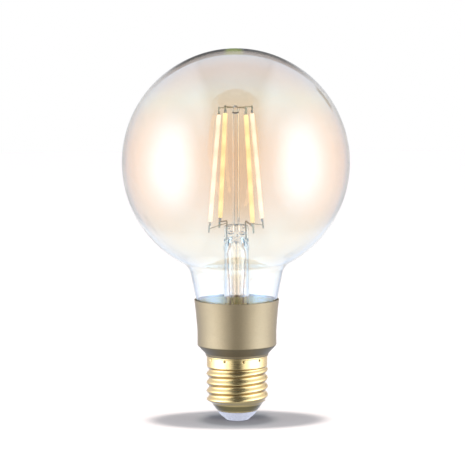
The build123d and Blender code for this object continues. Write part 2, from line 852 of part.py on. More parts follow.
def main():
    os.makedirs("parts", exist_ok=True)

    leads = {
        "left": lead_wire(-1, LEFT_LEAD_FILAMENTS[0]),
        "right": lead_wire(1, RIGHT_LEAD_FILAMENTS[0]),
    }
    branches = {
        "left": branch_wire(-1, LEFT_LEAD_FILAMENTS[1], leads["left"]),
        "right": branch_wire(1, RIGHT_LEAD_FILAMENTS[1], leads["right"]),
    }
    spider = top_spider()
    bead = post_bead() - spider
    post = centre_post() - post_bead()

    export(globe_envelope(), "globe_envelope")
    exhaust_hole = disc(EXHAUST_RADIUS, STEM_TOP_Z, EXHAUST_TOP_Z)
    sealed = [exhaust_hole, post, leads["left"], leads["right"]]
    export(stem_mount(sealed), "stem_mount")
    export(exhaust_tube(), "exhaust_tube")
    export(post, "centre_post")
    export(bead, "post_bead")
    export(spider, "top_spider_wire")
    for side, lead in leads.items():
        export(lead, f"{side}_lead_wire")
        export(branches[side], f"{side}_branch_wire")

    tabs = []
    chips = []
    for number, angle in enumerate(FILAMENT_ANGLES, start=1):
        plane = filament_plane(angle)
        export(filament_sleeve(plane), f"filament_sleeve_{number}")
        export(filament_strip(plane), f"filament_strip_{number}")
        tabs += filament_tabs(plane)
        chips += filament_chips(plane)
    export(Compound(tabs), "filament_end_tabs")
    export(Compound(chips), "filament_chips")

    export(collar_housing(), "collar_housing")
    export(neck_cement(), "neck_cement")
    export(screw_shell(), "screw_shell")
    export(cap_insulator(), "cap_insulator")
    export(centre_contact(), "centre_contact")

    lead_holes = [
        disc(LEAD_RADIUS, RADIO_BOARD_LOW_Z - 1, RADIO_BOARD_TOP_Z + 1, x=side * LEAD_PAD_X)
        for side in (-1, 1)
    ]
    export(driver_board(), "driver_board")
    export(radio_board(header_pins(0.05) + lead_holes), "radio_board")
    can, bung, wrap = capacitor_parts()
    export(can, "capacitor_can")
    export(bung, "capacitor_bung")
    export(wrap, "capacitor_wrap")
    core, winding = choke_parts()
    export(core, "choke_core")
    export(winding, "choke_winding")
    export(bridge_rectifier(), "bridge_rectifier")
    export(driver_chip(), "driver_chip")
    export(Compound(chip_legs()), "chip_legs")
    export(fusible_resistor(), "fusible_resistor")
    export(Compound(small_passives()), "small_passives")
    export(radio_shield(), "radio_shield")
    export(radio_chip(), "radio_chip")
    export(radio_crystal(), "radio_crystal")
    export(antenna_trace(), "antenna_trace")
    export(Compound(header_blocks()), "header_blocks")
    export(Compound(header_pins(0.0)), "header_pins")
    joints = [solder_joint(side * LEAD_PAD_X, 0, LEAD_RADIUS) for side in (-1, 1)]
    export(Compound(joints), "solder_joints")
    export(Compound([lead_sleeving(side) for side in (-1, 1)]), "lead_sleeving")
    export(live_wire(), "live_wire")
    export(neutral_wire(), "neutral_wire")


main()
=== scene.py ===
import json
import math

import bmesh
import bpy
from mathutils import Matrix, Vector


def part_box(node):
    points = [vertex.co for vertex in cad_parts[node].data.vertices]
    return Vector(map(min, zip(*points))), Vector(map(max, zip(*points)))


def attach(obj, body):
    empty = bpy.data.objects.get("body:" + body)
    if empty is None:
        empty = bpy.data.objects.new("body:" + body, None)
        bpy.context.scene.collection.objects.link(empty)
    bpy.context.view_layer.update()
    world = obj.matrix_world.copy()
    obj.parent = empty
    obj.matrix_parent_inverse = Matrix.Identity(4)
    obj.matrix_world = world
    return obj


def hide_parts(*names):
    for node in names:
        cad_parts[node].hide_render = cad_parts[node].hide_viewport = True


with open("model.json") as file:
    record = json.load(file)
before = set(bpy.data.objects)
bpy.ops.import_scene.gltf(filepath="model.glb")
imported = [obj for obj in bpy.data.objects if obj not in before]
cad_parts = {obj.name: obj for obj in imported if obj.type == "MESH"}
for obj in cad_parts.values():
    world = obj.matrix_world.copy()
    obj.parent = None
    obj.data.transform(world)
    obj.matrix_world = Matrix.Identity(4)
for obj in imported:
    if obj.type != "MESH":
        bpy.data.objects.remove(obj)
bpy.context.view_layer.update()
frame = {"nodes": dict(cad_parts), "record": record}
NODES = frame["nodes"]
MM = 0.001


# ---------------------------------------------------------------- mesh helpers


def mesh_object(name, verts, faces, sharp):
    """A smooth-shaded mesh object from vertices in metres, creased where faces turn sharply."""
    mesh = bpy.data.meshes.new(name)
    mesh.from_pydata(verts, [], faces)
    mesh.validate()
    mesh.shade_smooth()
    mesh.set_sharp_from_angle(angle=math.radians(sharp))
    obj = bpy.data.objects.new(name, mesh)
    bpy.context.scene.collection.objects.link(obj)
    return obj


def orient(obj):
    """Turn every face of a closed mesh outwards."""
    work = bmesh.new()
    work.from_mesh(obj.data)
    bmesh.ops.recalc_face_normals(work, faces=work.faces)
    work.to_mesh(obj.data)
    work.free()


def skin_rings(rings, closed, name, sharp):
    """Join rings of equal length into one surface; a ring of one point is a pole."""
    verts = []
    spans = []
    for ring in rings:
        spans.append((len(verts), len(ring)))
        verts.extend(ring)
    pairs = list(zip(spans, spans[1:]))
    if closed:
        pairs.append((spans[-1], spans[0]))
    faces = []
    for (a, na), (b, nb) in pairs:
        count = max(na, nb)
        for i in range(count):
            j = (i + 1) % count
            if na == 1:
                faces.append((a, b + j, b + i))
            elif nb == 1:
                faces.append((a + i, a + j, b))
            else:
                faces.append((a + i, a + j, b + j, b + i))
    obj = mesh_object(name, verts, faces, sharp)
    orient(obj)
    return obj


def lathe(name, profile, segments, sharp):
    """Turn a (radius, height) outline in millimetres about the lamp's axis."""
    rings = []
    for radius, z in profile:
        if radius < 1e-6:
            rings.append([(0.0, 0.0, z * MM)])
            continue
        ring = []
        for i in range(segments):
            turn = math.tau * i / segments
            ring.append((radius * MM * math.cos(turn), radius * MM * math.sin(turn), z * MM))
        rings.append(ring)
    return skin_rings(rings, False, name, sharp)


def oval_arc(centre, wide, tall, start, end, steps):
    """Points on an elliptical arc in the (radius, height) plane, angles in degrees."""
    points = []
    for i in range(steps + 1):
        turn = math.radians(start + (end - start) * i / steps)
        points.append((centre[0] + wide * math.cos(turn), centre[1] + tall * math.sin(turn)))
    return points


def box_mm(node):
    """A CAD node's lowest and highest corner in millimetres."""
    low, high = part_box(node)
    return [v / MM for v in low], [v / MM for v in high]


# ---------------------------------------------------------------- node helpers


class Graph:
    """A short way to write shader nodes."""

    def __init__(self, tree):
        self.tree = tree
        tree.nodes.clear()

    def node(self, kind, **settings):
        made = self.tree.nodes.new(kind)
        for key, value in settings.items():
            setattr(made, key, value)
        return made

    def put(self, socket, value):
        if isinstance(value, bpy.types.NodeSocket):
            self.tree.links.new(value, socket)
        else:
            socket.default_value = value

    def math(self, operation, *values):
        made = self.node("ShaderNodeMath", operation=operation)
        for socket, value in zip(made.inputs, values):
            self.put(socket, value)
        return made.outputs[0]

    def product(self, first, *others):
        for other in others:
            first = self.math("MULTIPLY", first, other)
        return first

    def remap(self, value, low, high, to_low=0.0, to_high=1.0, smooth=True):
        made = self.node("ShaderNodeMapRange")
        made.interpolation_type = "SMOOTHSTEP" if smooth else "LINEAR"
        self.put(made.inputs["Value"], value)
        made.inputs["From Min"].default_value = low
        made.inputs["From Max"].default_value = high
        made.inputs["To Min"].default_value = to_low
        made.inputs["To Max"].default_value = to_high
        return made.outputs["Result"]

    def ramp(self, value, stops):
        made = self.node("ShaderNodeValToRGB")
        points = made.color_ramp.elements
        while len(points) < len(stops):
            points.new(0.5)
        for point, (at, colour) in zip(points, stops):
            point.position = at
            point.color = (*colour, 1)
        self.put(made.inputs[0], value)
        return made.outputs["Color"]

    def blend(self, factor, a, b):
        made = self.node("ShaderNodeMix", data_type="RGBA")
        self.put(made.inputs[0], factor)
        self.put(made.inputs[6], (*a, 1) if isinstance(a, tuple) else a)
        self.put(made.inputs[7], (*b, 1) if isinstance(b, tuple) else b)
        return made.outputs[2]

    def place(self, scale=(1, 1, 1)):
        """The point in the row's frame, in metres, stretched by a scale."""
        where = self.node("ShaderNodeTexCoord").outputs["Object"]
        if scale == (1, 1, 1):
            return where
        made = self.node("ShaderNodeMapping")
        self.put(made.inputs["Vector"], where)
        made.inputs["Scale"].default_value = scale
        return made.outputs["Vector"]

    def noise(self, scale, detail=3.0, rough=0.5, stretch=(1, 1, 1)):
        made = self.node("ShaderNodeTexNoise")
        self.put(made.inputs["Vector"], self.place(stretch))
        made.inputs["Scale"].default_value = scale
        made.inputs["Detail"].default_value = detail
        made.inputs["Roughness"].default_value = rough
        return made.outputs["Fac"]

    def height(self):
        parts = self.node("ShaderNodeSeparateXYZ")
        self.put(parts.inputs[0], self.place())
        return parts.outputs["Z"]

    def bump(self, value, strength, distance):
        made = self.node("ShaderNodeBump")
        made.inputs["Strength"].default_value = strength
        made.inputs["Distance"].default_value = distance
        self.put(made.inputs["Height"], value)
        return made.outputs["Normal"]


def new_material(name):
    """A material with one Principled shader, with its graph, the shader and the output node."""
    made = bpy.data.materials.new(name)
    made.use_nodes = True
    graph = Graph(made.node_tree)
    shader = graph.node("ShaderNodeBsdfPrincipled")
    output = graph.node("ShaderNodeOutputMaterial")
    graph.tree.links.new(shader.outputs[0], output.inputs["Surface"])
    return made, graph, shader, output


def varied(graph, colour, amount, scale, stretch=(1, 1, 1)):
    """A colour that drifts a little lighter and darker."""
    dark = tuple(c * (1 - amount) for c in colour)
    light = tuple(min(1.0, c * (1 + amount)) for c in colour)
    return graph.blend(graph.noise(scale, 4, 0.6, stretch), dark, light)


def plain(name, colour, rough=0.5, metal=0.0, vary=0.08, scale=900, grain=6000, depth=0.00002,
          stretch=(1, 1, 1), spread=0.08):
    """An opaque material: drifting colour, uneven gloss and a fine grain."""
    made, graph, shader, _ = new_material(name)
    graph.put(shader.inputs["Base Color"], varied(graph, colour, vary, scale, stretch))
    shader.inputs["Metallic"].default_value = metal
    uneven = graph.noise(scale * 1.7, 3, 0.6, stretch)
    graph.put(
        shader.inputs["Roughness"],
        graph.remap(uneven, 0.3, 0.7, max(0.02, rough - spread), rough + spread),
    )
    graph.put(shader.inputs["Normal"], graph.bump(graph.noise(grain, 2, 0.5, stretch), 0.35, depth))
    return made


def let_lamps_through(graph, shader, output, tint):
    """Lamp rays pass the glass, dimmed by a tint, so that what is inside is lit."""
    path = graph.node("ShaderNodeLightPath")
    clear = graph.node("ShaderNodeBsdfTransparent")
    graph.put(clear.inputs["Color"], (*tint, 1) if isinstance(tint, tuple) else tint)
    mix = graph.node("ShaderNodeMixShader")
    graph.put(mix.inputs[0], path.outputs["Is Shadow Ray"])
    graph.tree.links.new(shader.outputs[0], mix.inputs[1])
    graph.tree.links.new(clear.outputs[0], mix.inputs[2])
    graph.tree.links.new(mix.outputs[0], output.inputs["Surface"])


# ---------------------------------------------------------------- materials


def throat_painted_dark(graph, z):
    """Painted shade where the globe turns into the neck, seen edge-on: the film there is darkened
    to stand in for the dark refraction at the crease.
    """
    slant = graph.node("ShaderNodeLayerWeight")
    slant.inputs["Blend"].default_value = 0.5
    edge_on = graph.remap(slant.outputs["Facing"], 0.72, 0.9)
    above = graph.remap(z, 0.0615, 0.0635)
    below = graph.remap(z, 0.0690, 0.0670)
    return graph.product(above, below, edge_on)


def crown(graph, z):
    """The oval of the globe's top that throws the picture's shadow on the floor."""
    across = graph.node("ShaderNodeVectorMath", operation="LENGTH")
    graph.put(across.inputs[0], graph.place((1, 1.6, 0)))
    near_axis = graph.remap(across.outputs["Value"], 0.0365, 0.0275)
    return graph.product(near_axis, graph.remap(z, 0.130, 0.138))


def coated_glass():
    """The globe: a rose-gold film, darkest at the crown, that fades out down the neck."""
    made, graph, shader, output = new_material("coated_glass")
    z = graph.height()
    drift = graph.math("MULTIPLY_ADD", graph.noise(22, 2, 0.5), 0.006, -0.003)
    level = graph.remap(graph.math("ADD", z, drift), 0.050, 0.158, smooth=False)
    film = graph.ramp(
        level,
        [
            (0.05, (1.0, 0.955, 0.915)),
            (0.11, (1.0, 0.955, 0.875)),
            (0.20, (1.0, 0.945, 0.835)),
            (0.30, (1.0, 0.915, 0.80)),
            (0.37, (0.985, 0.845, 0.705)),
            (0.50, (0.98, 0.803, 0.645)),
            (0.62, (0.975, 0.795, 0.63)),
            (0.74, (0.968, 0.842, 0.70)),
            (0.80, (0.965, 0.895, 0.77)),
            (0.86, (0.915, 0.838, 0.75)),
            (0.925, (0.89, 0.80, 0.725)),
            (1.0, (0.85, 0.78, 0.71)),
        ],
    )
    # Painted shade: the throat mask darkens the film to dark brown at the neck crease.
    graph.put(shader.inputs["Base Color"], graph.blend(throat_painted_dark(graph, z), film, (0.11, 0.08, 0.04)))
    shader.inputs["Transmission Weight"].default_value = 1.0
    shader.inputs["IOR"].default_value = 1.5
    smudge = graph.noise(60, 4, 0.6)
    graph.put(shader.inputs["Roughness"], graph.remap(smudge, 0.45, 0.8, 0.0, 0.02))
    shader.inputs["Coat Weight"].default_value = 0.35
    shader.inputs["Coat IOR"].default_value = 1.6
    shader.inputs["Coat Roughness"].default_value = 0.02
    graph.put(shader.inputs["Normal"], graph.bump(graph.noise(35, 1, 0.4), 0.12, 0.0004))
    shade = graph.blend(crown(graph, z), (1.0, 1.0, 1.0), (0.19, 0.165, 0.16))
    let_lamps_through(graph, shader, output, shade)
    return made


def clear_glass():
    """Drawn stem glass with faint lengthwise cords."""
    made, graph, shader, output = new_material("clear_glass")
    graph.put(
        shader.inputs["Base Color"],
        varied(graph, (1.0, 0.98, 0.955), 0.012, 120, (1, 1, 0.1)),
    )
    shader.inputs["Transmission Weight"].default_value = 1.0
    shader.inputs["IOR"].default_value = 1.5
    graph.put(
        shader.inputs["Roughness"], graph.remap(graph.noise(200, 3, 0.6), 0.5, 0.8, 0.0, 0.03)
    )
    cords = graph.noise(900, 2, 0.5, (1, 1, 0.02))
    graph.put(shader.inputs["Normal"], graph.bump(cords, 0.25, 0.00015))
    let_lamps_through(graph, shader, output, (0.93, 0.94, 0.94))
    return made


def phosphor(name, colour, glow, strength):
    """A lit filament sleeve: a warm glow that swells in beads along its length."""
    made, graph, shader, _ = new_material(name)
    shader.inputs["Roughness"].default_value = 0.45
    graph.put(shader.inputs["Base Color"], varied(graph, colour, 0.06, 700))
    wave = graph.node("ShaderNodeTexWave", wave_type="BANDS", bands_direction="Z")
    graph.put(wave.inputs["Vector"], graph.place())
    wave.inputs["Scale"].default_value = 33
    wave.inputs["Distortion"].default_value = 0.4
    beads = graph.remap(wave.outputs["Fac"], 0.0, 1.0, 0.86, 1.08)
    mottle = graph.remap(graph.noise(1800, 3, 0.6), 0.3, 0.7, 0.95, 1.05)
    graph.put(shader.inputs["Emission Color"], (*glow, 1))
    graph.put(shader.inputs["Emission Strength"], graph.product(beads, mottle, strength))
    graph.put(shader.inputs["Normal"], graph.bump(graph.noise(2500, 2, 0.5), 0.3, 0.00003))
    return made


def underside(graph, start, full, most):
    """How far a surface faces down, from 0 to a most: where painted shade darkens the underside."""
    parts = graph.node("ShaderNodeSeparateXYZ")
    graph.put(parts.inputs[0], graph.node("ShaderNodeNewGeometry").outputs["Normal"])
    return graph.remap(parts.outputs["Z"], start, full, 0.0, most)


def brass():
    """Polished rolled brass: rolling lines round it, stains, and painted shade on the bowl and the
    down-facing slopes.
    """
    made, graph, shader, _ = new_material("shell_brass")
    base = varied(graph, (0.90, 0.60, 0.265), 0.05, 160)
    stain = graph.remap(graph.noise(420, 5, 0.65), 0.52, 0.75, 0.0, 0.35)
    base = graph.blend(stain, base, (0.72, 0.45, 0.175))
    z = graph.height()
    # Painted shade: the bowl above its rim and the down-facing surfaces are darkened, standing in
    # for the floor's shadow mirrored in them.
    bowl = graph.product(graph.remap(z, 0.0088, 0.0068, 0.0, 0.95), graph.remap(z, 0.0045, 0.0050))
    under = graph.math("MAXIMUM", underside(graph, -0.05, -0.75, 0.8), bowl)
    graph.put(shader.inputs["Base Color"], graph.blend(under, base, (0.08, 0.06, 0.026)))
    shader.inputs["Metallic"].default_value = 1.0
    lines = graph.noise(900, 3, 0.6, (0.12, 0.12, 9))
    graph.put(shader.inputs["Roughness"], graph.remap(lines, 0.3, 0.7, 0.19, 0.30))
    graph.put(shader.inputs["Normal"], graph.bump(lines, 0.12, 0.00002))
    return made


def collar_gold():
    """Satin champagne metallic lacquer: flake, faint brushing, and painted shade under the
    shoulder.
    """
    made, graph, shader, _ = new_material("collar_gold")
    flake = graph.noise(5200, 2, 0.7)
    base = graph.blend(
        graph.remap(flake, 0.35, 0.65), (0.315, 0.212, 0.112), (0.40, 0.272, 0.146)
    )
    cloud = graph.remap(graph.noise(90, 4, 0.6), 0.3, 0.7, 0.0, 0.12)
    base = graph.blend(cloud, base, (0.23, 0.19, 0.12))
    # Painted shade: surfaces facing down under the shoulder are darkened.
    under = underside(graph, -0.08, -0.5, 0.9)
    graph.put(shader.inputs["Base Color"], graph.blend(under, base, (0.08, 0.05, 0.017)))
    shader.inputs["Metallic"].default_value = 0.85
    shader.inputs["Coat Weight"].default_value = 0.3
    shader.inputs["Coat Roughness"].default_value = 0.35
    brushed = graph.noise(700, 3, 0.6, (0.3, 0.3, 14))
    graph.put(shader.inputs["Roughness"], graph.remap(brushed, 0.3, 0.7, 0.46, 0.56))
    both = graph.math("ADD", flake, graph.product(brushed, 0.6))
    graph.put(shader.inputs["Normal"], graph.bump(both, 0.28, 0.00003))
    return made


def board_green():
    """Solder mask over faint copper tracks."""
    made, graph, shader, _ = new_material("board_green")
    cells = graph.node("ShaderNodeTexVoronoi", feature="DISTANCE_TO_EDGE")
    graph.put(cells.inputs["Vector"], graph.place())
    cells.inputs["Scale"].default_value = 420
    tracks = graph.remap(cells.outputs["Distance"], 0.05, 0.09)
    mask = graph.blend(tracks, (0.20, 0.20, 0.07), (0.13, 0.17, 0.05))
    graph.put(shader.inputs["Base Color"], mask)
    graph.put(
        shader.inputs["Roughness"], graph.remap(graph.noise(1500, 3, 0.5), 0.3, 0.7, 0.3, 0.42)
    )
    graph.put(shader.inputs["Normal"], graph.bump(tracks, 0.3, 0.00003))
    return made


def make_materials():
    """Every material, keyed by the record's slot name or by a finer name of our own."""
    return {
        "coated_glass": coated_glass(),
        "clear_glass": clear_glass(),
        "phosphor_bright": phosphor("phosphor_bright", (0.9, 0.7, 0.3), (1.0, 0.84, 0.50), 1.1),
        "phosphor_pale": phosphor("phosphor_pale", (0.95, 0.88, 0.74), (1.0, 0.89, 0.72), 1.02),
        "shell_brass": brass(),
        "collar_gold": collar_gold(),
        "board_green": board_green(),
        "ceramic": plain("ceramic", (0.86, 0.85, 0.82), 0.4, grain=4000),
        "semiconductor": plain("semiconductor", (0.1, 0.13, 0.3), 0.15, metal=0.3, vary=0.2),
        "nickel_wire": plain(
            "nickel_wire", (0.58, 0.35, 0.17), 0.35, metal=0.7, vary=0.18, stretch=(1, 1, 0.3)
        ),
        "tab_plate": plain("tab_plate", (0.95, 0.80, 0.55), 0.5, metal=0.2, vary=0.1),
        "cement": plain("cement", (0.80, 0.73, 0.36), 0.85, scale=500, depth=0.00008, grain=2500),
        "insulator_white": plain(
            "insulator_white", (0.435, 0.375, 0.395), 0.3, vary=0.04, scale=250, grain=3000
        ),
        "contact_metal": plain(
            "contact_metal", (0.82, 0.82, 0.84), 0.28, metal=0.6, vary=0.06, scale=400
        ),
        "aluminium_can": plain(
            "aluminium_can", (0.8, 0.8, 0.82), 0.3, metal=1.0, stretch=(1, 1, 8)
        ),
        "black_rubber": plain("black_rubber", (0.03, 0.03, 0.03), 0.7, vary=0.2),
        "wrap_film": plain("wrap_film", (0.03, 0.04, 0.12), 0.25, vary=0.12),
        "ferrite": plain("ferrite", (0.07, 0.07, 0.075), 0.6, vary=0.2, depth=0.00005),
        "copper": plain("copper", (0.75, 0.36, 0.18), 0.25, metal=1.0, stretch=(1, 1, 10)),
        "black_epoxy": plain("black_epoxy", (0.03, 0.03, 0.033), 0.55, vary=0.15, grain=9000),
        "resistor_body": plain("resistor_body", (0.18, 0.33, 0.24), 0.4, vary=0.1),
        "tinned_metal": plain("tinned_metal", (0.72, 0.72, 0.72), 0.32, metal=1.0, vary=0.1),
        "red_insulation": plain("red_insulation", (0.5, 0.03, 0.02), 0.35, vary=0.06),
        "black_insulation": plain("black_insulation", (0.025, 0.025, 0.027), 0.35, vary=0.12),
        "white_sleeving": plain("white_sleeving", (0.82, 0.82, 0.8), 0.5, vary=0.05),
    }


# ---------------------------------------------------------------- glass pieces

NECK_SLOPE = 0.198
NECK_START = (14.9, 40.0)
NECK_FILLET = 7.0
GLASS_WALL = 0.8
TUBE_RADIUS = 5.3
TUBE_BORE = 4.3


def heading(vector):
    """A flat vector's direction in degrees, from 0 to 360."""
    return math.degrees(math.atan2(vector.y, vector.x)) % 360


def globe_outline(shift, sphere, centre_z, foot_z):
    """The envelope's (radius, height) outline from foot to crown, moved inwards by a shift."""
    length = math.hypot(NECK_SLOPE, 1)
    along = Vector((NECK_SLOPE / length, 1 / length))
    out = Vector((1 / length, -NECK_SLOPE / length))
    start = Vector(NECK_START) - out * shift
    radius = sphere - shift
    fillet = NECK_FILLET + shift
    centre = Vector((0, centre_z))
    base = start + out * fillet - centre
    half = base.dot(along)
    travel = -half - math.sqrt(half * half - base.length_squared + (radius + fillet) ** 2)
    pivot = start + out * fillet + along * travel
    join_low = start + along * travel
    foot = start + along * ((foot_z - start.y) / along.y)
    up = (centre - pivot).normalized()
    points = [tuple(foot.lerp(join_low, i / 24)) for i in range(24)]
    points += oval_arc(pivot, fillet, fillet, heading(-out), heading(up), 20)
    points += oval_arc(centre, radius, radius, heading(-up) - 360, 90, 110)[1:-1]
    points.append((0.0, centre_z + radius))
    return points


def build_globe():
    """The blown envelope as one closed wall with a fire-polished foot."""
    low, high = box_mm("globe_envelope")
    sphere = (high[0] - low[0]) / 2
    centre_z = high[2] - sphere
    foot_z = low[2] + 0.3
    outer = globe_outline(0.0, sphere, centre_z, foot_z)
    inner = globe_outline(GLASS_WALL, sphere, centre_z, foot_z)
    lip = [(outer[0][0] - 0.12, low[2] + 0.05), (inner[0][0] + 0.12, low[2] + 0.05)]
    return lathe("globe_glass", list(reversed(outer)) + lip + inner, 288, sharp=60)


def oval_ring(half_x, half_y, z, roundness=1.0, count=128):
    """A ring in metres from sizes in millimetres: an ellipse at roundness 1, squarer below."""
    power = 2 + 2.2 * (1 - roundness)
    points = []
    for i in range(count):
        turn = math.tau * i / count
        c, s = math.cos(turn), math.sin(turn)
        reach = (abs(c / half_x) ** power + abs(s / half_y) ** power) ** (-1 / power)
        points.append((reach * c * MM, reach * s * MM, z * MM))
    return points


def stem_inside(rim_z, top_z):
    """Rings down the inside: a hanging drop of glass, the tube's bore, the flare's underside."""
    drop_outline = [(0.8, 8.0), (1.6, 7.7), (2.3, 7.2), (2.8, 6.6), (3.2, 6.1), (3.55, 6.0),
                    (3.85, 6.4), (4.05, 7.4), (4.2, 9.0)]
    rings = [[(0.0, 0.0, (top_z - 8.1) * MM)]]
    for radius, drop in drop_outline:
        flatness = min(1.0, 0.45 + 0.11 * drop**0.8)
        rings.append(oval_ring(radius, radius * flatness, top_z - drop))
    rings.append(oval_ring(TUBE_BORE, TUBE_BORE, top_z - 11.0))
    rings.append(oval_ring(TUBE_BORE, TUBE_BORE, rim_z + 10))
    under = oval_arc((14.0, rim_z + 10), 9.7, 10.0, 180, 270, 30)[1:]
    rings += [oval_ring(r, r, z) for r, z in under]
    rings += [oval_ring(14.85, 14.85, rim_z), oval_ring(14.85, 14.85, rim_z + 1)]
    return rings


def stem_outside(rim_z, top_z):
    """Rings up the outside: the flare, the tube, the flattened pinch and its closed top."""
    flare = oval_arc((14.0, rim_z + 10), 8.7, 9.0, 270, 180, 30)
    rings = [oval_ring(r, r, z) for r, z in flare]
    tube_top = top_z - 11.6
    for i in range(1, 9):
        z = rim_z + 10 + (tube_top - rim_z - 10) * i / 8
        rings.append(oval_ring(TUBE_RADIUS, TUBE_RADIUS, z))
    # half width, half depth, roundness, distance below the top
    pinch = [
        (5.42, 5.15, 0.95, 10.6),
        (5.55, 4.6, 0.85, 9.6),
        (5.5, 3.7, 0.65, 8.4),
        (5.35, 2.9, 0.5, 7.2),
        (5.25, 2.35, 0.4, 6.0),
        (5.15, 2.0, 0.4, 4.8),
        (5.05, 1.85, 0.4, 3.6),
        (5.2, 2.05, 0.45, 2.4),
        (5.25, 2.1, 0.45, 1.5),
        (5.0, 1.9, 0.5, 0.8),
        (4.4, 1.4, 0.6, 0.3),
        (2.6, 0.8, 0.8, 0.02),
    ]
    rings += [oval_ring(x, y, top_z - drop, roundness) for x, y, roundness, drop in pinch]
    rings.append([(0.0, 0.0, top_z * MM)])
    return rings


def bubble(place, half, segments=24, rows=16):
    """Vertices and inward-facing faces of an air bubble, place and half sizes in millimetres."""
    verts = [(place[0] * MM, place[1] * MM, (place[2] - half[2]) * MM)]
    for row in range(1, rows):
        tilt = math.pi * row / rows
        for i in range(segments):
            turn = math.tau * i / segments
            x = place[0] + half[0] * math.sin(tilt) * math.cos(turn)
            y = place[1] + half[1] * math.sin(tilt) * math.sin(turn)
            verts.append((x * MM, y * MM, (place[2] - half[2] * math.cos(tilt)) * MM))
    verts.append((place[0] * MM, place[1] * MM, (place[2] + half[2]) * MM))
    top = len(verts) - 1
    faces = []
    for i in range(segments):
        j = (i + 1) % segments
        faces.append((0, 1 + i, 1 + j))
        for row in range(rows - 2):
            a = 1 + row * segments
            faces.append((a + i, a + segments + i, a + segments + j, a + j))
        faces.append((top - segments + i, top, top - segments + j))
    return verts, faces


def add_bubbles(stem, top_z):
    """Six air bubbles caught in the pinch: place and half sizes in millimetres."""
    bubbles = [
        ((-2.2, 0.1, top_z - 3.6), (1.25, 0.7, 0.85)),
        ((2.4, -0.1, top_z - 3.9), (1.15, 0.7, 0.95)),
        ((0.4, -0.2, top_z - 5.0), (0.55, 0.5, 0.6)),
        ((-3.0, -0.2, top_z - 1.6), (0.8, 0.5, 0.5)),
        ((2.9, 0.2, top_z - 1.5), (0.6, 0.4, 0.45)),
        ((-0.6, 0.3, top_z - 6.3), (0.4, 0.4, 0.35)),
    ]
    work = bmesh.new()
    work.from_mesh(stem.data)
    for place, half in bubbles:
        verts, faces = bubble(place, half)
        made = [work.verts.new(at) for at in verts]
        for face in faces:
            work.faces.new([made[i] for i in face]).smooth = True
    work.to_mesh(stem.data)
    work.free()


def build_stem():
    """Flare, tube and flattened pinch in one skin, with bubbles in the pinch."""
    low, high = box_mm("stem_mount")
    rings = stem_inside(low[2], high[2]) + stem_outside(low[2], high[2])
    stem = skin_rings(rings, False, "stem_glass", 50)
    add_bubbles(stem, high[2])
    return stem


# ---------------------------------------------------------------- cap pieces

PITCH = 3.629
CREST_Z = 10.9
THREAD_MEAN = 12.5
THREAD_DEPTH = 0.55
SKIRT_RADIUS = 12.8
BOWL_FOOT = 4.3
SHELL_SEGMENTS = 384
PUNCHES = 10
PUNCH_Z = 26.6


def smooth(value, low, high):
    """A soft step from 0 to 1."""
    t = min(1.0, max(0.0, (value - low) / (high - low)))
    return t * t * (3 - 2 * t)


def thread_radius(turn, z):
    """The shell's outside radius at an angle and a height: bowl, thread, then plain skirt."""
    phase = math.tau * (z - CREST_Z) / PITCH
    delta = turn - phase
    thread = THREAD_DEPTH * math.cos(delta)
    thread += math.sqrt(THREAD_MEAN**2 - (THREAD_DEPTH * math.sin(delta)) ** 2)
    if z < 8.9:
        bowl = 8.35 + 2.55 * max(0.0, (min(z, 7.8) - BOWL_FOOT) / 3.5) ** 0.8
        return bowl + (thread - bowl) * smooth(z, 7.6, 8.9)
    if z > 22.6:
        return thread + (SKIRT_RADIUS - thread) * smooth(z, 22.6, 23.4)
    return thread


def eased_radius(turn, z):
    """The radius averaged over a short height, as sheet rolls over an edge."""
    if z > 23.8:
        return SKIRT_RADIUS
    total = 0.0
    for shift, weight in ((-0.3, 0.25), (0.0, 0.5), (0.3, 0.25)):
        total += weight * thread_radius(turn, max(BOWL_FOOT, z + shift))
    return total


def punch_depth(turn, z):
    """How deep the staking punches press the skirt in at a point."""
    depth = 0.0
    for i in range(PUNCHES):
        at = math.radians(12 + 36 * i - 90)
        side = math.remainder(turn - at, math.tau) * SKIRT_RADIUS
        reach = math.hypot(side, z - PUNCH_Z)
        depth = max(depth, 0.7 * (1 - smooth(reach, 0.1, 0.62)))
    return depth


def shell_ring(z, wall):
    """One ring of the shell in metres, a wall's thickness in from its outside."""
    ring = []
    for i in range(SHELL_SEGMENTS):
        turn = math.tau * i / SHELL_SEGMENTS
        radius = eased_radius(turn, z) - wall - punch_depth(turn, z)
        ring.append((radius * math.cos(turn) * MM, radius * math.sin(turn) * MM, z * MM))
    return ring


def build_shell():
    """The rolled brass shell: thread, bowl, skirt, rolled lip and staking punches."""
    _, high = box_mm("screw_shell")
    levels = [BOWL_FOOT + 0.16 * i for i in range(int((26.0 - BOWL_FOOT) / 0.16))]
    levels += [26.0 + 0.1 * i for i in range(11)]
    rings = [shell_ring(z, 0.0) for z in levels]
    lip = [(12.74, 27.1), (12.72, 27.2), (12.8, 27.3), (12.88, 27.4), (12.89, 27.6),
           (12.84, high[2]), (12.5, high[2])]
    rings += [oval_ring(radius, radius, z, count=SHELL_SEGMENTS) for radius, z in lip]
    rings += [shell_ring(z, 0.3 if z > 8.5 else 0.45) for z in reversed(levels[::4])]
    return skin_rings(rings, True, "brass_shell", 50)


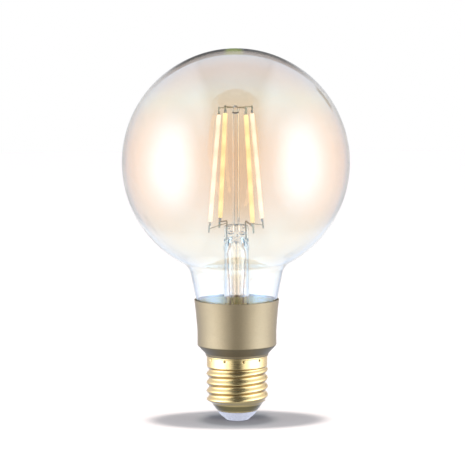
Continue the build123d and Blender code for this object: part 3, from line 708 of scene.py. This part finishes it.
def build_insulator():
    """The moulded white insulator: a rounded bowl with shallow scallops, hollow for the nail."""
    _, high = box_mm("cap_insulator")
    outside = [(8.2, 4.7), (8.3, 4.3), (8.1, 3.8), (7.75, 3.1), (7.15, 2.4), (6.3, 1.75),
               (5.55, 1.15), (5.0, 0.6), (4.75, 0.35), (4.5, 0.3), (4.36, 0.4)]
    inside = [(4.36, 0.9), (1.31, 0.9), (1.31, high[2]), (6.3, high[2]), (6.9, 6.6), (7.3, 5.4),
              (7.7, 4.7)]
    rings = []
    for radius, z in outside + inside:
        scallop = 0.28 * smooth(radius, 4.4, 5.0) * smooth(-radius, -8.0, -6.8)
        ring = []
        for i in range(288):
            turn = math.tau * i / 288
            reach = radius - scallop * abs(math.cos(6 * turn)) ** 3
            ring.append((reach * math.cos(turn) * MM, reach * math.sin(turn) * MM, z * MM))
        rings.append(ring)
    return skin_rings(rings, True, "insulator_bowl", 50)


# ---------------------------------------------------------------- the set


# The overhead lamp brings the floor beneath it to FLOOR_FROM_LAMP; the floor's own glow adds
# the rest, so the shadow's depth is set by how the two share the light.
LAMP_HEIGHT = 1.3
FLOOR_ALBEDO = 0.35
FLOOR_FROM_LAMP = 0.6
FLOOR_GLOW = 0.71
LAMP_POWER = FLOOR_FROM_LAMP * math.pi**2 * LAMP_HEIGHT**2 / FLOOR_ALBEDO

SENSOR_MM = 36
CAMERA_DISTANCE = 1.2
PICTURE_WIDTH = 0.1962
CAMERA_RAISED = 6
CAMERA_ROLL = -0.36
LOOK_AT = Vector((-0.0016, 0, 0.0800))
LIGHT_BOUNCES = 28


def build_floor():
    """A pale seamless floor that glows more with distance, as the lamp's light falls away."""
    bpy.ops.mesh.primitive_grid_add(x_subdivisions=24, y_subdivisions=24, size=3)
    floor = bpy.context.object
    floor.name = "floor"
    made, graph, shader, _ = new_material("floor")
    tone = (FLOOR_ALBEDO * 1.07, FLOOR_ALBEDO * 0.96, FLOOR_ALBEDO * 0.91)
    shader.inputs["Roughness"].default_value = 0.9
    shader.inputs["Specular IOR Level"].default_value = 0.0
    away = graph.node("ShaderNodeVectorMath", operation="LENGTH")
    graph.put(away.inputs[0], graph.place((1 / LAMP_HEIGHT,) * 3))
    away = away.outputs["Value"]
    far = graph.math("ADD", graph.product(away, away), 1.0)
    lit = graph.math("DIVIDE", FLOOR_FROM_LAMP, graph.product(far, far))
    shader.inputs["Emission Color"].default_value = (1, 0.918, 0.888, 1)
    # Painted contact shadow: near the bulb's foot the glow drops and the floor colour darkens.
    foot = graph.remap(away, 0.006 / LAMP_HEIGHT, 0.019 / LAMP_HEIGHT, -0.3, 0.0)
    painted_contact_shade = graph.remap(away, 0.007 / LAMP_HEIGHT, 0.020 / LAMP_HEIGHT, 0.45, 0.0)
    shaded = tuple(c * 0.3 for c in tone)
    graph.put(shader.inputs["Base Color"], graph.blend(painted_contact_shade, varied(graph, tone, 0.004, 3), shaded))
    glow = graph.math("ADD", graph.math("SUBTRACT", FLOOR_GLOW, lit), foot)
    graph.put(shader.inputs["Emission Strength"], graph.math("MAXIMUM", glow, 0.0))
    floor.data.materials.append(made)
    floor.visible_glossy = False
    floor.visible_diffuse = False
    floor.visible_transmission = False


def mirror_ball(graph, x, y, z):
    """Where a direction shows in a mirror ball seen from the front: right, up and out."""
    spread = graph.product(graph.math("SUBTRACT", 1.0, y), 2.0)
    ball = graph.math("SQRT", graph.math("MAXIMUM", 0.0001, spread))
    u = graph.math("DIVIDE", x, ball)
    v = graph.math("DIVIDE", z, ball)
    out = graph.math("SQRT", graph.math("ADD", graph.product(u, u), graph.product(v, v)))
    return u, v, out


def top_band(graph, u, v):
    """A thin band along the ball's upper edge."""
    rounded = graph.math("SUBTRACT", 1.0, graph.product(u, u))
    edge = graph.math("SQRT", graph.math("MAXIMUM", 0.0, rounded))
    return graph.remap(graph.math("SUBTRACT", edge, v), 0.052, 0.042)


def soft_boxes(graph, width, v):
    """Two tall soft boxes, one each side: ovals that fade outwards."""
    across = graph.math("DIVIDE", graph.math("SUBTRACT", width, 0.6), 0.33)
    up = graph.math("DIVIDE", v, 0.56)
    far = graph.math("ADD", graph.product(across, across), graph.product(up, up))
    return graph.remap(graph.math("SQRT", far), 1.05, 0.15)


def dark_cards(graph, u, v, out, width, band, prism):
    """A dark card along the crown, weaker at the prism, and a short dark streak at the right."""
    card = graph.product(
        band, graph.remap(width, 0.85, 0.5), graph.remap(u, -0.1, 0.4, 0.93, 0.84)
    )
    card = graph.product(card, graph.remap(prism, 0.0, 1.0, 1.0, 0.63, smooth=False))
    ring = graph.math("ABSOLUTE", graph.math("SUBTRACT", out, 0.962))
    bearing = graph.math("SUBTRACT", graph.math("ARCTAN2", v, u), 0.52)
    bearing = graph.math("ABSOLUTE", bearing)
    streak = graph.product(
        graph.remap(ring, 0.013, 0.006), graph.remap(bearing, 0.17, 0.08, 0.0, 0.8)
    )
    return graph.math("MAXIMUM", card, streak)


def studio_level(graph, v, out, width, boxes, dark):
    """How bright the studio is: boxes, pale walls beside a dim column in front, dark cards."""
    column = graph.math("ADD", 0.11, graph.product(graph.math("MAXIMUM", v, 0.0), 0.17))
    walls = graph.remap(graph.math("SUBTRACT", width, column), -0.02, 0.15)
    walls = graph.math("MAXIMUM", walls, graph.remap(v, 0.66, 0.95))
    walls = graph.math("MAXIMUM", walls, graph.remap(v, -0.35, -0.7, 0.0, 1.35))
    level = graph.math("ADD", graph.product(walls, 1.5), graph.product(boxes, 2.9))
    level = graph.product(level, graph.remap(out, 0.5, 1.0, 1.0, 0.47))
    level = graph.product(level, graph.math("SUBTRACT", 1.0, dark))
    return graph.math("ADD", level, 0.11)


def studio_tone(graph, out, boxes, prism, passes):
    """The studio's colour, cooler for rays that have been through the globe's warm film.

    Passes counts the glass surfaces a ray has gone through: any at all means the ray comes from
    inside the globe, and many mean that it comes through the stem.
    """
    tone = graph.blend(boxes, (0.83, 0.99, 1.15), (0.79, 0.98, 1.2))
    tone = graph.blend(graph.remap(out, 0.75, 0.95), tone, (0.90, 1.0, 1.18))
    inner = graph.blend(graph.remap(out, 0.68, 0.88), (0.46, 0.93, 1.58), (0.78, 0.99, 1.36))
    inner = graph.blend(graph.math("GREATER_THAN", passes, 6.5), inner, (0.94, 0.96, 0.97))
    tone = graph.blend(graph.math("GREATER_THAN", passes, 0.5), tone, inner)
    tone = graph.blend(graph.remap(out, 0.965, 0.985), tone, (0.93, 0.95, 0.99))
    return graph.blend(prism, tone, (0.75, 0.93, 0.42))


def backdrop(graph, x, y, z, passes):
    """The white backdrop seen straight through glass, with upright strips deep in the stem."""
    turn = graph.math("ARCTAN2", x, y)
    strips = graph.math("COSINE", graph.product(turn, 8.0))
    strips = graph.remap(strips, -0.85, -0.2, 0.62, 1.0)
    steep = graph.remap(graph.math("ABSOLUTE", z), 0.75, 0.35, 0.25)
    strips = graph.product(strips, steep)
    deep = graph.math("GREATER_THAN", passes, 4.5)
    seen = graph.math("ADD", graph.product(deep, graph.math("SUBTRACT", strips, 1.0)), 1.0)
    grey = graph.node("ShaderNodeCombineXYZ")
    for socket in grey.inputs:
        graph.put(socket, seen)
    return grey.outputs[0]


def build_world():
    """Studio surroundings, drawn as they mirror in a ball seen from the front.

    Two tall soft boxes stand at the sides, the front is dim, and what is seen straight through
    glass is the white backdrop.
    """
    world = bpy.data.worlds.new("studio")
    bpy.context.scene.world = world
    world.use_nodes = True
    graph = Graph(world.node_tree)
    axes = graph.node("ShaderNodeSeparateXYZ")
    graph.put(axes.inputs[0], graph.node("ShaderNodeTexCoord").outputs["Generated"])
    x, y, z = axes.outputs
    path = graph.node("ShaderNodeLightPath").outputs
    passes = path["Transmission Depth"]

    u, v, out = mirror_ball(graph, x, y, z)
    width = graph.math("ABSOLUTE", u)
    band = top_band(graph, u, v)
    middle = graph.remap(graph.math("ABSOLUTE", graph.math("ADD", u, 0.01)), 0.13, 0.06)
    prism = graph.product(middle, band)
    boxes = soft_boxes(graph, width, v)
    dark = dark_cards(graph, u, v, out, width, band, prism)
    studio = graph.node("ShaderNodeVectorMath", operation="SCALE")
    graph.put(studio.inputs[0], studio_tone(graph, out, boxes, prism, passes))
    graph.put(studio.inputs["Scale"], studio_level(graph, v, out, width, boxes, dark))

    unmirrored = graph.math("LESS_THAN", path["Glossy Depth"], 0.5)
    through = graph.product(unmirrored, path["Is Transmission Ray"])
    straight = graph.math("MAXIMUM", path["Is Camera Ray"], through)
    white = backdrop(graph, x, y, z, passes)
    background = graph.node("ShaderNodeBackground")
    graph.put(background.inputs["Color"], graph.blend(straight, studio.outputs[0], white))
    output = graph.node("ShaderNodeOutputWorld")
    graph.tree.links.new(background.outputs[0], output.inputs["Surface"])


def area_light(name, place, target, size, power):
    """A round soft light aimed at a point, not seen in mirrors or through glass."""
    data = bpy.data.lights.new(name, "AREA")
    data.shape = "DISK"
    data.size = size
    data.energy = power
    lamp = bpy.data.objects.new(name, data)
    lamp.location = place
    aim = Vector(target) - Vector(place)
    lamp.rotation_euler = aim.to_track_quat("-Z", "Y").to_euler()
    lamp.visible_glossy = False
    lamp.visible_transmission = False
    bpy.context.scene.collection.objects.link(lamp)


def build_camera():
    """The viewing angle of the picture: from the front, 6 degrees above level."""
    data = bpy.data.cameras.new("camera")
    data.sensor_width = SENSOR_MM
    data.lens = SENSOR_MM * CAMERA_DISTANCE / PICTURE_WIDTH
    camera = bpy.data.objects.new("camera", data)
    raised = math.radians(CAMERA_RAISED)
    place = LOOK_AT + Vector((0, -math.cos(raised), math.sin(raised))) * CAMERA_DISTANCE
    aim = (LOOK_AT - place).to_track_quat("-Z", "Y").to_matrix().to_4x4()
    roll = Matrix.Rotation(math.radians(CAMERA_ROLL), 4, "Z")
    camera.matrix_world = Matrix.Translation(place) @ aim @ roll
    bpy.context.scene.collection.objects.link(camera)
    bpy.context.scene.camera = camera


# ---------------------------------------------------------------- assembly


def dress_nodes(materials):
    """Give each CAD node its material; filaments 2 and 4 are the brighter pair."""
    slots = {row["node"]: row["material_slot"] for row in frame["record"]["subparts"]}
    for name, obj in NODES.items():
        key = slots[name]
        if key == "phosphor":
            key = "phosphor_bright" if name[-1] in "24" else "phosphor_pale"
        if name == "filament_end_tabs":
            key = "tab_plate"
        obj.data.materials.clear()
        obj.data.materials.append(materials[key])


def add_piece(obj, material, slot, *nodes):
    """A new piece that stands for CAD nodes."""
    obj.data.materials.append(material)
    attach(obj, "root")
    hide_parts(*nodes)


def main():
    scene = bpy.context.scene
    scene.view_settings.view_transform = "Standard"
    scene.cycles.caustics_reflective = False
    scene.cycles.caustics_refractive = False
    scene.cycles.max_bounces = LIGHT_BOUNCES
    scene.cycles.transmission_bounces = LIGHT_BOUNCES
    scene.cycles.transparent_max_bounces = LIGHT_BOUNCES

    materials = make_materials()
    dress_nodes(materials)
    for build, slot, node in (
        (build_globe, "coated_glass", "globe_envelope"),
        (build_stem, "clear_glass", "stem_mount"),
        (build_shell, "shell_brass", "screw_shell"),
        (build_insulator, "insulator_white", "cap_insulator"),
    ):
        add_piece(build(), materials[slot], slot, node)

    build_floor()
    build_world()
    area_light("overhead", (0, 0, LAMP_HEIGHT), (0, 0, 0), 0.05, LAMP_POWER)
    area_light("front_fill", (0, -0.9, 0.8), (0, 0, 0.06), 0.4, 7.0)
    build_camera()


main()
